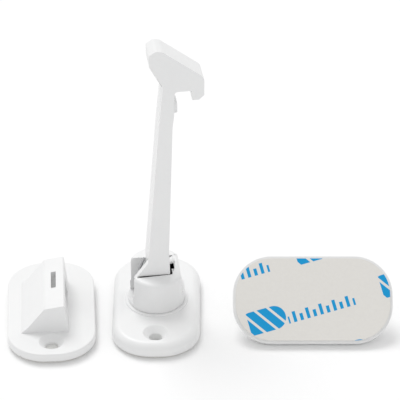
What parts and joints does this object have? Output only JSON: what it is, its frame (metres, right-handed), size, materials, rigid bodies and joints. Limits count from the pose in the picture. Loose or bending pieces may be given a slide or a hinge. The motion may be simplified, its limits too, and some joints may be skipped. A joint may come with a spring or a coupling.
{
  "type": "window restrictor latch",
  "caption": "Stick-on window restrictor: a sprung hook arm on a swivelling turret and plate, with wedge-shaped keepers, each on a foam tape pad with a peel-off liner.",
  "frame": {"origin": "middle of the arm unit's taped face, on the outside of its release liner", "axes": "+Z out of the arm unit's plate, +Y along the plate, +X to the side that the hook faces"},
  "size_m": [0.1416, 0.061, 0.1128],
  "materials": {
    "white_plastic": "white ABS, satin moulded surface",
    "foam_tape": "white closed-cell foam mounting tape",
    "liner_film": "coated paper release liner, warm off-white, with plain blue printed marks",
    "steel": "bright zinc-plated steel",
    "spring_wire": "bright spring steel wire"
  },
  "bodies": {
    "base": {"base_plate": "white_plastic", "base_foam_pad": "foam_tape", "base_release_liner": "liner_film"},
    "turret": {"turret": "white_plastic", "hinge_pin": "steel", "swivel_washer": "steel", "swivel_screw": "steel", "torsion_spring": "spring_wire"},
    "arm": {"lock_arm": "white_plastic"},
    "keeper": {"keeper_body": "white_plastic", "keeper_foam_pad": "foam_tape", "keeper_release_liner": "liner_film"},
    "turned_keeper": {"turned_keeper_body": "white_plastic", "turned_keeper_foam_pad": "foam_tape", "turned_keeper_release_liner": "liner_film"}
  },
  "joints": [
    {"name": "turret_swivel", "type": "hinge", "parent": "base", "child": "turret", "pos_m": [0, 0, 0.0061], "axis": [0, 0, 1], "range_deg": [-90, 90]},
    {"name": "arm_hinge", "type": "hinge", "parent": "turret", "child": "arm", "pos_m": [0.00059, 0.00008, 0.0141], "axis": [0.1392, -0.9903, 0], "range_deg": [0, 60], "stiffness_Nm_per_rad": 0.02, "springref_deg": -34.38, "deforming": ["torsion_spring"]},
    {"name": "keeper_lift", "type": "slide", "parent": "base", "child": "keeper", "axis": [0, 0, 1], "range_m": [0, 0.06]},
    {"name": "turned_keeper_lift", "type": "slide", "parent": "base", "child": "turned_keeper", "axis": [0, 0, 1], "range_m": [0, 0.06]}
  ]
}
